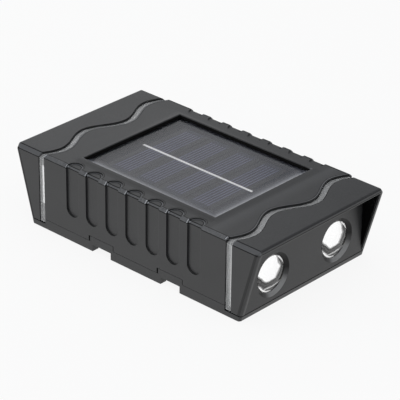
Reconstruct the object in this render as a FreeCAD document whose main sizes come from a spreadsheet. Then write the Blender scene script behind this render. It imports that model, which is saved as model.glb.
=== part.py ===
"""Solar fence light, lying on its back: z = 0 is the wall, +Z goes out through the solar panel.

X runs along the length from lens end to lens end, and the origin is the centre of the back.
The two ends are alike: each left piece is its right piece turned half a turn about Z.
"""
import FreeCAD, Part
import Sketcher
import math
import os
import re
from FreeCAD import Placement, Rotation, Vector

doc = FreeCAD.newDocument("fence_light")

# ---------------------------------------------------------------------------------------------
# Driving dimensions, in millimetres, one row of the sheet each
# ---------------------------------------------------------------------------------------------
SIZES = {
    # outer form
    "body_width": 80.0,
    "base_length": 123.4,
    "top_length": 143.4,
    "cap_height": 35.9,
    "cap_chamfer": 1.9,
    "cap_wall": 2.2,
    "front_round": 1.25,
    "cover_rise": 0.2,
    "cover_chamfer": 1.2,
    "cover_wall": 2.2,
    "neck_wall": 1.8,
    "neck_end_gap": 0.2,
    "fit_gap": 0.15,
    "seam_gap": 0.45,
    # wavy slot and light strip
    "cover_edge": 53.4,
    "slot_width": 3.4,
    "wave_height": 3.4,
    "wave_length": 39.2,
    "strip_sink": 0.8,
    "strip_side_sink": 0.35,
    "strip_gap": 0.1,
    "side_window_low": 11.5,
    "side_window_inset": 5.9,
    "side_window_width": 2.2,
    # hooded ends and lenses
    "end_face": 62.4,
    "end_wall": 2.0,
    "lens_inset": 19.6,
    "lens_ring_radius": 10.1,
    "lens_hole_radius": 8.4,
    "lens_ring_depth": 1.3,
    "lens_gap": 0.1,
    "lens_dome": 0.9,
    "lens_flange_radius": 8.9,
    "lens_flange": 1.2,
    "reflector_radius": 8.8,
    "reflector_wall": 0.9,
    "reflector_throat": 2.6,
    "led_board_setback": 12.1,
    "led_board_thickness": 1.6,
    "led_board_margin": 9.1,
    "led_board_height": 20.0,
    "led_chip_width": 3.4,
    "led_chip_height": 0.8,
    # panel frame and solar panel
    "window_length": 77.4,
    "window_width": 60.6,
    "frame_land": 0.9,
    "frame_edge_round": 0.35,
    "frame_flank": 3.6,
    "frame_rise": 0.5,
    "panel_sink": 1.9,
    "seal_lip": 0.25,
    "seal_drop": 0.4,
    "seal_thickness": 0.25,
    "glaze_thickness": 0.45,
    "glaze_border": 2.2,
    "ribbon_thickness": 0.15,
    "ribbon_width": 1.3,
    "ribbon_length": 64.0,
    "cell_thickness": 0.25,
    "cell_pitch": 15.3,
    "cell_width": 15.0,
    "cell_length": 50.0,
    "cell_count": 4,
    "backing_thickness": 1.4,
    # grip recesses
    "grip_count": 7,
    "grip_pitch": 11.93,
    "grip_width": 7.6,
    "grip_depth": 0.8,
    "grip_top_depth": 0.45,
    "grip_bottom": 12.2,
    "grip_reach": 5.5,
    # tray, its lip, latch tabs and finger notches
    "lip_height": 2.25,
    "skirt_height": 4.5,
    "tray_floor": 1.3,
    "rim_wall": 3.6,
    "end_rim_wall": 3.1,
    "recess_setback": 1.8,
    "tab_place_one": 18.3,
    "tab_place_two": 22.4,
    "tab_width": 13.9,
    "tab_height": 2.5,
    "tab_thickness": 1.6,
    "tab_gap": 0.3,
    "tab_slit": 0.8,
    "notch_width": 11.0,
    "notch_depth": 6.5,
    "spigot_wall": 1.4,
    "spigot_height": 5.0,
    "spigot_half_length": 49.0,
    "gasket_width": 1.2,
    "gasket_thickness": 1.0,
    # screws
    "boss_inset": 5.05,
    "hood_boss_width": 7.0,
    "hood_boss_height": 17.0,
    "boss_radius": 3.0,
    "cup_radius": 4.2,
    "hood_cup_radius": 3.4,
    "cup_height": 1.9,
    "screw_head_radius": 2.6,
    "screw_head_height": 1.6,
    "screw_radius": 1.25,
    "screw_length": 10.0,
    "screw_gap": 0.1,
    # wall plate
    "plate_thickness": 2.8,
    "plate_gap": 0.4,
    "plate_hole_spread": 70.0,
    "plate_hole_radius": 2.25,
    "plate_sink_radius": 4.2,
    "plate_sink_depth": 1.3,
    "nub_place": 44.0,
    "nub_width": 6.0,
    "nub_reach": 0.8,
    "nub_thickness": 1.2,
    "nub_height": 1.0,
    "relief_depth": 1.2,
    "relief_length": 21.0,
    "relief_width": 14.0,
    # battery and its holder
    "battery_radius": 7.1,
    "battery_length": 49.0,
    "battery_x": 2.2,
    "battery_offset": 17.0,
    "battery_gap": 0.1,
    "nub_radius": 2.7,
    "nub_length": 1.2,
    "holder_floor": 1.2,
    "holder_wall": 1.5,
    "holder_side_height": 8.5,
    "holder_end_height": 14.5,
    "contact_thickness": 0.4,
    "contact_width": 9.0,
    "contact_height": 15.0,
    "spring_radius": 3.2,
    "spring_wire": 0.35,
    "spring_turns": 3.5,
    # control board
    "board_left_reach": 34.0,
    "board_right": 18.0,
    "board_near": 2.5,
    "board_setback": 5.35,
    "board_thickness": 1.6,
    "post_height": 3.5,
    "post_radius": 2.0,
    "post_pin_radius": 0.9,
    "post_pin_gap": 0.1,
    "post_inset": 3.0,
    # slide switch
    "switch_x": 33.0,
    "switch_y": 17.0,
    "switch_length": 12.0,
    "switch_width": 6.6,
    "switch_height": 6.0,
    "switch_wall": 0.6,
    "switch_travel": 3.0,
    "knob_length": 4.0,
    "knob_width": 2.4,
    "knob_recess": 0.9,
    "knob_flange_length": 5.6,
    "knob_flange_width": 4.4,
    "knob_flange_height": 1.6,
    "slide_gap": 0.3,
    "finger_room": 4.0,
    # wires
    "lead_radius": 0.6,
    "lead_bend": 2.5,
    "lead_pitch": 2.0,
    # side lights behind the strips
    "side_board_width": 5.0,
    "side_board_thickness": 1.2,
    "side_led_width": 1.7,
    "side_led_length": 2.6,
    "side_led_count": 3,
}

sheet = doc.addObject("Spreadsheet::Sheet", "Sizes")
for row, (alias, number) in enumerate(SIZES.items(), start=1):
    sheet.set(f"A{row}", alias)
    sheet.set(f"B{row}", str(number))
    sheet.setAlias(f"B{row}", alias)
doc.recompute()

# Places that follow from the driving dimensions. Pieces that meet read the same place.
PLACES = {
    "half_width": "body_width / 2",
    "slant": "(top_length - base_length) / 2 / cap_height",
    "side_window_high": "cap_height - side_window_inset",
    "cover_top": "cap_height + cover_rise",
    "frame_top": "cover_top + frame_rise",
    "hood_edge": "cover_edge + slot_width",
    "cap_inner_y": "half_width - cap_wall",
    "cap_inner_z": "cap_height - cap_wall",
    "cap_bottom": "lip_height + seam_gap",
    "end_inner": "end_face - end_wall",
    "neck_y": "cap_inner_y - fit_gap",
    "neck_z": "cap_inner_z - fit_gap",
    "neck_end": "end_inner - neck_end_gap",
    "inner_y": "neck_y - neck_wall",
    "inner_z": "neck_z - neck_wall",
    "floor_bottom": "skirt_height - tray_floor",
    "gasket_top": "skirt_height + gasket_thickness",
    "neck_bottom": "gasket_top + strip_gap",
    "cover_inner_y": "half_width - cover_wall",
    "cover_inner_z": "cover_top - cover_wall",
    "cover_bottom": "skirt_height + fit_gap",
    "cover_inner_x": "cover_edge - wave_height - neck_wall",
    "panel_top": "frame_top - panel_sink",
    "panel_ledge": "panel_top + seal_thickness + fit_gap / 3",
    "panel_x": "window_length / 2 + glaze_border",
    "panel_y": "window_width / 2 + glaze_border",
    "glaze_bottom": "panel_top - glaze_thickness",
    "ribbon_top": "glaze_bottom - fit_gap / 3",
    "cell_top": "ribbon_top - ribbon_thickness",
    "backing_top": "cell_top - cell_thickness",
    "backing_bottom": "backing_top - backing_thickness",
    "recess_x": "min(base_length / 2 - end_rim_wall; end_inner - recess_setback)",
    "recess_y": "half_width - rim_wall",
    "plate_x": "recess_x - plate_gap",
    "plate_y": "recess_y - plate_gap",
    "boss_bottom": "skirt_height + cup_height + strip_gap",
    "head_seat": "floor_bottom + screw_gap + screw_head_height",
    "lens_spread": "half_width - lens_inset",
    "lens_height": "gasket_top + strip_gap + lens_flange_radius",
    "led_board_place": "end_face - led_board_setback",
    "led_board_length": "(lens_spread + led_board_margin) * 2",
    "boss_x": "led_board_place - cup_radius - slide_gap",
    "boss_y": "inner_y - boss_inset",
    "gasket_x": "neck_end - strip_gap",
    "gasket_y": "neck_y - strip_gap",
    "hood_boss_x": "(led_face + gasket_x - gasket_width) / 2",
    "lens_back": "end_inner - lens_gap - lens_flange",
    "lens_shoulder": "end_face - lens_ring_depth",
    "led_face": "led_board_place + led_board_thickness",
    "led_board_low": "skirt_height + strip_gap",
    "reflector_back": "led_face + strip_gap",
    "reflector_front": "lens_back - strip_gap",
    "window_x": "cover_edge + slot_width / 2 - side_window_width / 2",
    "side_board_out": "inner_y - fit_gap",
    "side_board_in": "side_board_out - side_board_thickness",
    "battery_y": "-battery_offset",
    "board_left": "-board_left_reach",
    "board_far": "inner_y - board_setback",
    "battery_z": "skirt_height + holder_floor + battery_gap + battery_radius",
    "battery_end": "battery_x + battery_length / 2",
    "battery_back": "battery_x - battery_length / 2",
    "nub_end": "battery_end + nub_length",
    "contact_face": "nub_end + battery_gap",
    "holder_end": "contact_face + contact_thickness + battery_gap",
    "holder_y": "battery_radius + battery_gap",
    "board_bottom": "skirt_height + post_height",
    "board_top": "board_bottom + board_thickness",
    "switch_bottom": "skirt_height + fit_gap",
    "switch_top": "switch_bottom + switch_height",
    "flange_bottom": "switch_bottom + switch_wall + slide_gap",
    "flange_top": "flange_bottom + knob_flange_height",
    "lead_top": "board_top + lead_bend * 2",
}

WORD = re.compile(r"[a-z_][a-z_0-9]*")


def full(text):
    """An expression on the sheet, with every place spelled out in driving dimensions."""
    def spell(match):
        word = match.group(0)
        if word in PLACES:
            return "(" + full(PLACES[word]) + ")"
        return "Sizes." + word if word in SIZES else word

    return WORD.sub(spell, str(text))


def value(text):
    """The number that an expression has on the sheet now."""
    return float(sheet.evalExpression(full(text)))


# ---------------------------------------------------------------------------------------------
# Building blocks, each bound to the sheet
# ---------------------------------------------------------------------------------------------
def place(item, x, y, z):
    for axis, text in zip("xyz", (x, y, z)):
        item.setExpression(f"Placement.Base.{axis}", full(text))


def block(name, x, y, z):
    """A box given by its low and high place along each axis."""
    item = doc.addObject("Part::Box", name)
    for prop, span in (("Length", x), ("Width", y), ("Height", z)):
        item.setExpression(prop, full(f"({span[1]}) - ({span[0]})"))
    place(item, x[0], y[0], z[0])
    return item


TURN = {
    "x": Rotation(Vector(0, 1, 0), 90),
    "y": Rotation(Vector(1, 0, 0), -90),
    "z": Rotation(),
}


def rod(name, axis, start, radius, length):
    """A cylinder that runs from its start along +X, +Y or +Z."""
    item = doc.addObject("Part::Cylinder", name)
    item.Placement = Placement(Vector(), TURN[axis])
    item.setExpression("Radius", full(radius))
    item.setExpression("Height", full(length))
    place(item, *start)
    return item


def cone(name, axis, start, radius_start, radius_end, length):
    item = doc.addObject("Part::Cone", name)
    item.Placement = Placement(Vector(), TURN[axis])
    item.setExpression("Radius1", full(radius_start))
    item.setExpression("Radius2", full(radius_end))
    item.setExpression("Height", full(length))
    place(item, *start)
    return item


def prism(name, plane, outline, width):
    """A straight-sided outline on an origin plane, padded evenly to both sides of it.

    Each corner of the sketch is held by its two distances from the origin.
    """
    body = doc.addObject("PartDesign::Body", name)
    sketch = body.newObject("Sketcher::SketchObject", name + "_outline")
    origin_plane = [o for o in body.Origin.OriginFeatures if o.Role == plane + "_Plane"][0]
    sketch.AttachmentSupport = [(origin_plane, "")]
    sketch.MapMode = "FlatFace"
    corners = [Vector(value(u), value(v), 0) for u, v in outline]
    sides = len(corners)
    for i in range(sides):
        sketch.addGeometry(Part.LineSegment(corners[i], corners[(i + 1) % sides]))
    for i in range(sides):
        sketch.addConstraint(Sketcher.Constraint("Coincident", i, 2, (i + 1) % sides, 1))
    for i, (u, v) in enumerate(outline):
        for kind, text, number in (("DistanceX", u, corners[i].x), ("DistanceY", v, corners[i].y)):
            index = sketch.addConstraint(Sketcher.Constraint(kind, -1, 1, i, 1, number))
            sketch.setExpression(f"Constraints[{index}]", full(text))
    pad = body.newObject("PartDesign::Pad", name + "_pad")
    pad.Profile = sketch
    pad.SideType = "Symmetric"
    pad.setExpression("Length", full(width))
    return body


def fuse(name, parts):
    item = doc.addObject("Part::MultiFuse", name)
    item.Shapes = parts
    item.Refine = True
    return item


def common(name, parts):
    item = doc.addObject("Part::MultiCommon", name)
    item.Shapes = parts
    return item


def cut(name, base, tools):
    item = doc.addObject("Part::Cut", name)
    item.Base = base
    item.Tool = tools[0] if len(tools) == 1 else fuse(name + "_tools", tools)
    return item


def group(name, parts):
    """Separate solids that are one sub-part, such as a set of screws."""
    item = doc.addObject("Part::Compound", name)
    item.Links = parts
    return item


def half_turned(name, source):
    """The same piece at the other end: half a turn about Z."""
    item = group(name, [source])
    item.Placement = Placement(Vector(), Rotation(Vector(0, 0, 1), 180))
    return item


def rounded(name, base, radius, chosen):
    """Rounds the edges of base that the test picks."""
    doc.recompute()
    item = doc.addObject("Part::Fillet", name)
    item.Base = base
    size = value(radius)
    edges = enumerate(base.Shape.Edges, start=1)
    item.Edges = [(i, size, size) for i, edge in edges if chosen(edge)]
    return item


def formed(name, shape):
    item = doc.addObject("Part::Feature", name)
    item.Shape = shape
    return item


NODES = []


def node(item, label=None):
    """Keeps a finished sub-part under the name of its file."""
    item.Label = label or item.Name
    NODES.append(item)
    return item


# ---------------------------------------------------------------------------------------------
# The outer form that the hoods, the strips and the tray's lip are cut from
# ---------------------------------------------------------------------------------------------
def section(y, top, low, chamfer):
    """Outline across the light: upright sides, flat top, bevelled long edges."""
    return [
        (f"-({y})", low),
        (y, low),
        (y, f"({top}) - ({chamfer})"),
        (f"({y}) - ({chamfer})", top),
        (f"({chamfer}) - ({y})", top),
        (f"-({y})", f"({top}) - ({chamfer})"),
    ]


cap_section = prism(
    "cap_section", "YZ", section("half_width", "cap_height", "0", "cap_chamfer"), "top_length * 1.2"
)
cap_side = prism(
    "cap_side",
    "XZ",
    [
        ("-base_length / 2", "0"),
        ("base_length / 2", "0"),
        ("top_length / 2", "cap_height"),
        ("-top_length / 2", "cap_height"),
    ],
    "body_width * 1.2",
)
envelope_sharp = common("envelope_sharp", [cap_section, cap_side])


def on_slanted_end(edge):
    """True for the edges of a slanted end face, apart from the one on the wall."""
    reach = value("base_length / 2")
    lean = value("slant")
    points = [vertex.Point for vertex in edge.Vertexes]
    if max(point.z for point in points) < 0.01:
        return False
    return all(abs(abs(point.x) - reach - point.z * lean) < 0.01 for point in points)


envelope = rounded("envelope", envelope_sharp, "front_round", on_slanted_end)


def wave(x):
    """The wavy plan line of a slot edge: a sine across the top, straight beyond the sides."""
    span = value("wave_length")
    height = value("wave_height")
    middle = value(x)
    steps = 32
    points = []
    for step in range(steps + 1):
        y = span * (2 * step / steps - 1)
        points.append(Vector(middle + height * math.sin(2 * math.pi * y / span), y, 0))
    curve = Part.BSplineCurve()
    curve.interpolate(points)
    side = value("body_width")
    return [
        Part.makeLine(Vector(middle, -side, 0), points[0]),
        curve.toShape(),
        Part.makeLine(points[-1], Vector(middle, side, 0)),
    ]


def plan_region(name, edges_one, edges_two):
    """All that lies between two plan lines, over the whole height of the light."""
    end_one, start_one = edges_one[-1].Vertexes[-1].Point, edges_one[0].Vertexes[0].Point
    end_two, start_two = edges_two[-1].Vertexes[-1].Point, edges_two[0].Vertexes[0].Point
    links = [Part.makeLine(end_one, end_two), Part.makeLine(start_two, start_one)]
    outline = Part.Wire(Part.__sortEdges__(edges_one + edges_two + links))
    depth = value("body_width")
    slab = Part.Face(outline).extrude(Vector(0, 0, 2 * depth))
    slab.translate(Vector(0, 0, -depth))
    return formed(name, slab)


def straight(x):
    side = value("body_width")
    return [Part.makeLine(Vector(value(x), -side, 0), Vector(value(x), side, 0))]


cover_region = plan_region("cover_region", wave("-cover_edge"), wave("cover_edge"))
strip_region = plan_region(
    "strip_region", wave("cover_edge + strip_gap"), wave("hood_edge - strip_gap")
)
hood_region = plan_region("hood_region", wave("hood_edge"), straight("top_length"))
past_cover = plan_region("past_cover", wave("cover_edge"), straight("top_length"))

# ---------------------------------------------------------------------------------------------
# Hood: end cap with its end plate set back under the roof and two countersunk lens holes
# ---------------------------------------------------------------------------------------------
SIDES = (("near", "-lens_spread"), ("far", "lens_spread"))

hood_blank = common("hood_blank", [envelope, hood_region])
hood_cuts = [
    block(
        "hood_hollow",
        ("0", "end_inner"),
        ("-cap_inner_y", "cap_inner_y"),
        ("-body_width", "cap_inner_z"),
    ),
    block(
        "hood_recess",
        ("end_face", "top_length"),
        ("-cap_inner_y", "cap_inner_y"),
        ("-body_width", "cap_inner_z"),
    ),
    block(
        "hood_underside",
        ("0", "top_length"),
        ("-body_width", "body_width"),
        ("-body_width", "cap_bottom"),
    ),
]
for side, y in SIDES:
    hood_cuts.append(
        rod(f"lens_hole_{side}", "x", ("led_face", y, "lens_height"), "lens_hole_radius",
            "end_face - led_face + 1")
    )
    hood_cuts.append(
        cone(f"lens_ring_{side}", "x", ("end_face - lens_ring_depth", y, "lens_height"),
             "lens_hole_radius", "lens_ring_radius", "lens_ring_depth")
    )
hood_shell = cut("hood_shell", hood_blank, hood_cuts)
hood_boss = block(
    "hood_boss",
    ("hood_boss_x - boss_radius", "end_inner + strip_gap"),
    ("-hood_boss_width / 2", "hood_boss_width / 2"),
    ("boss_bottom", "boss_bottom + hood_boss_height"),
)
hood_bossed = fuse("hood_bossed", [hood_shell, hood_boss])
hood_pilot = rod(
    "hood_pilot", "z", ("hood_boss_x", "0", "boss_bottom - 1"), "screw_radius + screw_gap / 2",
    "screw_length + 2"
)
hood_right = node(cut("hood_right", hood_bossed, [hood_pilot]))
hood_left = node(half_turned("hood_left", hood_right))

# ---------------------------------------------------------------------------------------------
# Light strip: clear wavy band up one side, over the top and down the other
# ---------------------------------------------------------------------------------------------
strip_outer = prism(
    "strip_outer",
    "YZ",
    section("half_width - strip_side_sink", "cap_height - strip_sink", "cap_bottom",
            "cap_chamfer - strip_sink / 2"),
    "top_length",
)
strip_inner = block(
    "strip_inner",
    ("-top_length", "top_length"),
    ("-(neck_y + strip_gap)", "neck_y + strip_gap"),
    ("-body_width", "neck_z + strip_gap"),
)
strip_band = cut("strip_band", strip_outer, [strip_inner])
light_strip_right = node(common("light_strip_right", [strip_band, strip_region]))
light_strip_left = node(half_turned("light_strip_left", light_strip_right))

# ---------------------------------------------------------------------------------------------
# Main cover: middle shell with a lower neck at each end that carries the strip and the hood
# ---------------------------------------------------------------------------------------------
cover_skin = common(
    "cover_skin",
    [
        prism("cover_section", "YZ",
              section("half_width", "cover_top", "cover_bottom", "cover_chamfer"), "top_length"),
        cover_region,
    ],
)
neck = block(
    "neck",
    ("-neck_end", "neck_end"),
    ("-neck_y", "neck_y"),
    ("neck_bottom", "neck_z"),
)
panel_frame = doc.addObject("Part::Wedge", "panel_frame")
panel_frame.Placement = Placement(Vector(), Rotation(Vector(1, 0, 0), 90))
for prop, text in (
    ("Xmin", "-(window_length / 2 + frame_land + frame_flank)"),
    ("Xmax", "window_length / 2 + frame_land + frame_flank"),
    ("Zmin", "-(window_width / 2 + frame_land + frame_flank / 2)"),
    ("Zmax", "window_width / 2 + frame_land + frame_flank / 2"),
    ("Ymin", "cover_top"),
    ("Ymax", "frame_top"),
    ("X2min", "-(window_length / 2 + frame_land)"),
    ("X2max", "window_length / 2 + frame_land"),
    ("Z2min", "-(window_width / 2 + frame_land)"),
    ("Z2max", "window_width / 2 + frame_land"),
):
    panel_frame.setExpression(prop, full(text))
cover_block = fuse("cover_block", [cover_skin, neck, panel_frame])

# rounded recesses that wrap from the sides over the long edges on to the top
side_slots = []
plan_slots = []
for i in range(int(value("grip_count"))):
    middle = f"grip_pitch * ({i} - (grip_count - 1) / 2)"
    half = ("%s - grip_width / 2" % middle, "%s + grip_width / 2" % middle)
    side_slots.append(
        block(f"grip_side_{i}", half, ("-body_width", "body_width"),
              ("grip_bottom + grip_width / 2", "body_width"))
    )
    side_slots.append(
        rod(f"grip_foot_{i}", "y", (middle, "-body_width", "grip_bottom + grip_width / 2"),
            "grip_width / 2", "body_width * 2")
    )
    end_y = "half_width - grip_reach + grip_width / 2"
    for side, low, high, centre in (
        ("near", "-body_width", f"-({end_y})", f"-({end_y})"),
        ("far", end_y, "body_width", end_y),
    ):
        plan_slots.append(block(f"grip_top_{side}_{i}", half, (low, high), ("0", "body_width")))
        plan_slots.append(
            rod(f"grip_tip_{side}_{i}", "z", (middle, centre, "0"), "grip_width / 2", "body_width")
        )
grip_core = prism(
    "grip_core",
    "YZ",
    section("half_width - grip_depth", "cover_top - grip_top_depth", "0",
            "cover_chamfer - (grip_depth + grip_top_depth) * (1 - sqrt(2) / 2)"),
    "top_length",
)
grip_shape = common("grip_shape", [fuse("grip_sides", side_slots), fuse("grip_tops", plan_slots)])
grip_cuts = cut("grip_cuts", grip_shape, [grip_core])

cover_cuts = [
    grip_cuts,
    block("cover_foot", ("-neck_end - 1", "neck_end + 1"),
          ("-(neck_y + fit_gap)", "neck_y + fit_gap"), ("0", "neck_bottom")),
    block("neck_hollow", ("-neck_end - 1", "neck_end + 1"), ("-inner_y", "inner_y"),
          ("0", "inner_z")),
    block("cover_hollow", ("-cover_inner_x", "cover_inner_x"),
          ("-cover_inner_y", "cover_inner_y"),
          ("skirt_height + spigot_height + strip_gap", "cover_inner_z")),
    block("panel_pocket", ("-panel_x - fit_gap", "panel_x + fit_gap"),
          ("-panel_y - fit_gap", "panel_y + fit_gap"), ("skirt_height", "panel_ledge")),
    block("panel_window", ("-window_length / 2", "window_length / 2"),
          ("-window_width / 2", "window_width / 2"), ("skirt_height", "body_width")),
]
TABS = (("-tab_place_one", -1), ("tab_place_two", -1), ("tab_place_one", 1), ("-tab_place_two", 1))
for i, (x, sign) in enumerate(TABS):
    outer = f"{sign} * (half_width + 1)"
    inner = f"{sign} * (half_width - tab_thickness - tab_gap / 2)"
    y = (outer, inner) if sign < 0 else (inner, outer)
    before, after = ("tab_slit", "tab_gap") if sign < 0 else ("tab_gap", "tab_slit")
    cover_cuts.append(
        block(f"tab_window_{i}",
              (f"{x} - tab_width / 2 - {before}", f"{x} + tab_width / 2 + {after}"), y,
              ("0", "skirt_height + tab_height + fit_gap"))
    )
for end, low, high in (
    ("right", "window_x", "window_x + side_window_width"),
    ("left", "-(window_x + side_window_width)", "-window_x"),
):
    cover_cuts.append(
        block(f"side_window_{end}", (low, high), ("-half_width", "half_width"),
              ("side_window_low", "side_window_high"))
    )
cover_shell = cut("cover_shell", cover_block, cover_cuts)

BOSSES = [(f"{sx} * boss_x", f"{sy} * boss_y") for sx in (-1, 1) for sy in (-1, 1)]
cover_bosses = [
    rod(f"cover_boss_{i}", "z", (x, y, "boss_bottom"), "boss_radius",
        "inner_z + strip_gap * 5 - boss_bottom + cover_inner_z - inner_z")
    for i, (x, y) in enumerate(BOSSES)
]
cover_bossed = fuse("cover_bossed", [cover_shell] + cover_bosses)
cover_pilots = [
    rod(f"cover_pilot_{i}", "z", (x, y, "boss_bottom - 1"), "screw_radius + screw_gap / 2",
        "screw_length + 2")
    for i, (x, y) in enumerate(BOSSES)
]
cover_drilled = cut("cover_drilled", cover_bossed, cover_pilots)


def on_window_rim(edge):
    """True for the four top edges of the window in the panel frame."""
    top = value("frame_top")
    half_x, half_y = value("window_length / 2"), value("window_width / 2")
    points = [vertex.Point for vertex in edge.Vertexes]
    if len(points) < 2 or any(abs(point.z - top) > 0.01 for point in points):
        return False
    along_x = all(abs(abs(point.y) - half_y) < 0.01 for point in points)
    along_y = all(abs(abs(point.x) - half_x) < 0.01 for point in points)
    return along_x or along_y


main_cover = node(rounded("main_cover", cover_drilled, "frame_edge_round", on_window_rim))

# ---------------------------------------------------------------------------------------------
# Rear housing: the tray that closes the shell, with the lip that shows under hoods and strips
# ---------------------------------------------------------------------------------------------
tray_blank = common(
    "tray_blank",
    [
        envelope,
        block("tray_slab", ("-top_length", "top_length"), ("-body_width", "body_width"),
              ("0", "skirt_height")),
    ],
)
tray_cuts = [
    block("plate_recess", ("-recess_x", "recess_x"), ("-recess_y", "recess_y"),
          ("-1", "floor_bottom")),
]
lip_sides = fuse(
    "lip_sides",
    [
        block(f"lip_side_{side}", ("0", "top_length"), (near, far), ("lip_height", "body_width"))
        for side, near, far in (
            ("near", "-body_width", "-neck_y"),
            ("far", "neck_y", "body_width"),
        )
    ],
)
lip_step = common("lip_step", [lip_sides, past_cover])
tray_cuts += [lip_step, half_turned("lip_step_left", lip_step)]
for end, low, high in (
    ("right", "neck_end", "top_length"),
    ("left", "-top_length", "-neck_end"),
):
    tray_cuts.append(
        block(f"end_step_{end}", (low, high), ("-body_width", "body_width"),
              ("lip_height", "body_width"))
    )
NUBS = [(f"{sx} * nub_place", sy) for sx in (-1, 1) for sy in (-1, 1)]
for i, (x, sign) in enumerate(TABS):
    y = ("-body_width", "notch_depth - half_width")
    if sign > 0:
        y = ("half_width - notch_depth", "body_width")
    tray_cuts.append(
        block(f"finger_notch_{i}", (f"{x} - notch_width / 2", f"{x} + notch_width / 2"), y,
              ("-1", "floor_bottom"))
    )
for i, (x, sign) in enumerate(NUBS):
    reach = "recess_y + nub_reach"
    y = (f"-({reach})", "0") if sign < 0 else ("0", reach)
    tray_cuts.append(
        block(f"nub_pocket_{i}",
              (f"{x} - nub_width / 2 - slide_gap", f"{x} + nub_width / 2 + slide_gap"), y,
              ("nub_height - slide_gap / 2", "nub_height + nub_thickness + slide_gap / 2"))
    )
tray_cuts.append(
    block("switch_slot",
          ("switch_x - knob_length / 2 - slide_gap",
           "switch_x + knob_length / 2 + switch_travel + slide_gap"),
          ("switch_y - knob_width / 2 - slide_gap", "switch_y + knob_width / 2 + slide_gap"),
          ("0", "body_width"))
)
tray_base = cut("tray_base", tray_blank, tray_cuts)

tray_adds = []
for i, (x, sign) in enumerate(TABS):
    outer = f"{sign} * half_width"
    inner = f"{sign} * (half_width - tab_thickness)"
    y = (outer, inner) if sign < 0 else (inner, outer)
    tray_adds.append(
        block(f"latch_tab_{i}", (f"{x} - tab_width / 2", f"{x} + tab_width / 2"), y,
              ("floor_bottom", "skirt_height + tab_height"))
    )
for side, near, far in (
    ("near", "-(inner_y - strip_gap * 2)", "spigot_wall - inner_y + strip_gap * 2"),
    ("far", "inner_y - strip_gap * 2 - spigot_wall", "inner_y - strip_gap * 2"),
):
    tray_adds.append(
        block(f"spigot_{side}", ("-spigot_half_length", "spigot_half_length"), (near, far),
              ("floor_bottom", "skirt_height + spigot_height"))
    )
HOOD_SCREWS = [("hood_boss_x", "0"), ("-hood_boss_x", "0")]
SCREWS = BOSSES + HOOD_SCREWS
for i, (x, y) in enumerate(SCREWS):
    radius = "hood_cup_radius" if (x, y) in HOOD_SCREWS else "cup_radius"
    tray_adds.append(
        rod(f"screw_cup_{i}", "z", (x, y, "floor_bottom"), radius, "tray_floor + cup_height")
    )
POSTS = [
    (x, y)
    for x in ("board_left + post_inset", "board_right - post_inset")
    for y in ("board_near + post_inset", "board_far - post_inset")
]
for i, (x, y) in enumerate(POSTS):
    tray_adds.append(
        rod(f"board_post_{i}", "z", (x, y, "floor_bottom"), "post_radius",
            "tray_floor + post_height")
    )
    tray_adds.append(
        rod(f"board_pin_{i}", "z", (x, y, "floor_bottom"), "post_pin_radius",
            "tray_floor + post_height + board_thickness + 0.8")
    )
tray_built = fuse("tray_built", [tray_base] + tray_adds)
tray_bores = []
for i, (x, y) in enumerate(SCREWS):
    tray_bores.append(
        rod(f"head_pocket_{i}", "z", (x, y, "0"), "screw_head_radius + screw_gap * 2", "head_seat")
    )
    tray_bores.append(
        rod(f"screw_hole_{i}", "z", (x, y, "0"), "screw_radius + screw_gap * 2", "body_width")
    )
rear_housing = node(cut("rear_housing", tray_built, tray_bores))

housing_gasket = node(
    cut(
        "housing_gasket",
        block("gasket_outer", ("-gasket_x", "gasket_x"), ("-gasket_y", "gasket_y"),
              ("skirt_height", "gasket_top")),
        [
            block("gasket_inner", ("gasket_width - gasket_x", "gasket_x - gasket_width"),
                  ("gasket_width - gasket_y", "gasket_y - gasket_width"), ("0", "body_width"))
        ],
    )
)

screws = []
for i, (x, y) in enumerate(SCREWS):
    head = rod(f"screw_head_{i}", "z", (x, y, "head_seat - screw_head_height"),
               "screw_head_radius", "screw_head_height")
    shank = rod(f"screw_shank_{i}", "z", (x, y, "head_seat - screw_head_height"),
                "screw_radius", "screw_head_height + screw_length")
    slot = block(f"screw_slot_{i}", (f"{x} - screw_head_radius", f"{x} + screw_head_radius"),
                 (f"{y} - screw_radius / 3", f"{y} + screw_radius / 3"),
                 ("0", "head_seat - screw_head_height / 2"))
    screws.append(cut(f"screw_{i}", fuse(f"screw_blank_{i}", [head, shank]), [slot]))
case_screws = node(group("case_screws", screws))

# ---------------------------------------------------------------------------------------------
# Wall plate: flat plate that is screwed to the fence, with nubs that snap into the tray's rim
# ---------------------------------------------------------------------------------------------
plate_blank = fuse(
    "plate_blank",
    [block("plate_slab", ("-plate_x", "plate_x"), ("-plate_y", "plate_y"),
           ("0", "plate_thickness"))]
    + [
        block(f"plate_nub_{i}", (f"{x} - nub_width / 2", f"{x} + nub_width / 2"),
              ("-(recess_y + nub_reach - slide_gap)", "0") if sign < 0
              else ("0", "recess_y + nub_reach - slide_gap"),
              ("nub_height", "nub_height + nub_thickness"))
        for i, (x, sign) in enumerate(NUBS)
    ],
)
plate_cuts = [
    block("switch_opening",
          ("switch_x - knob_length / 2 - finger_room",
           "switch_x + knob_length / 2 + switch_travel + finger_room"),
          ("switch_y - knob_width / 2 - finger_room", "switch_y + knob_width / 2 + finger_room"),
          ("-1", "body_width")),
]
for i, x in enumerate(("-plate_hole_spread / 2", "plate_hole_spread / 2")):
    plate_cuts.append(
        rod(f"plate_hole_{i}", "z", (x, "0", "-1"), "plate_hole_radius", "body_width")
    )
    plate_cuts.append(
        cone(f"plate_sink_{i}", "z", (x, "0", "plate_thickness - plate_sink_depth"),
             "plate_hole_radius", "plate_sink_radius", "plate_sink_depth")
    )
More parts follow.
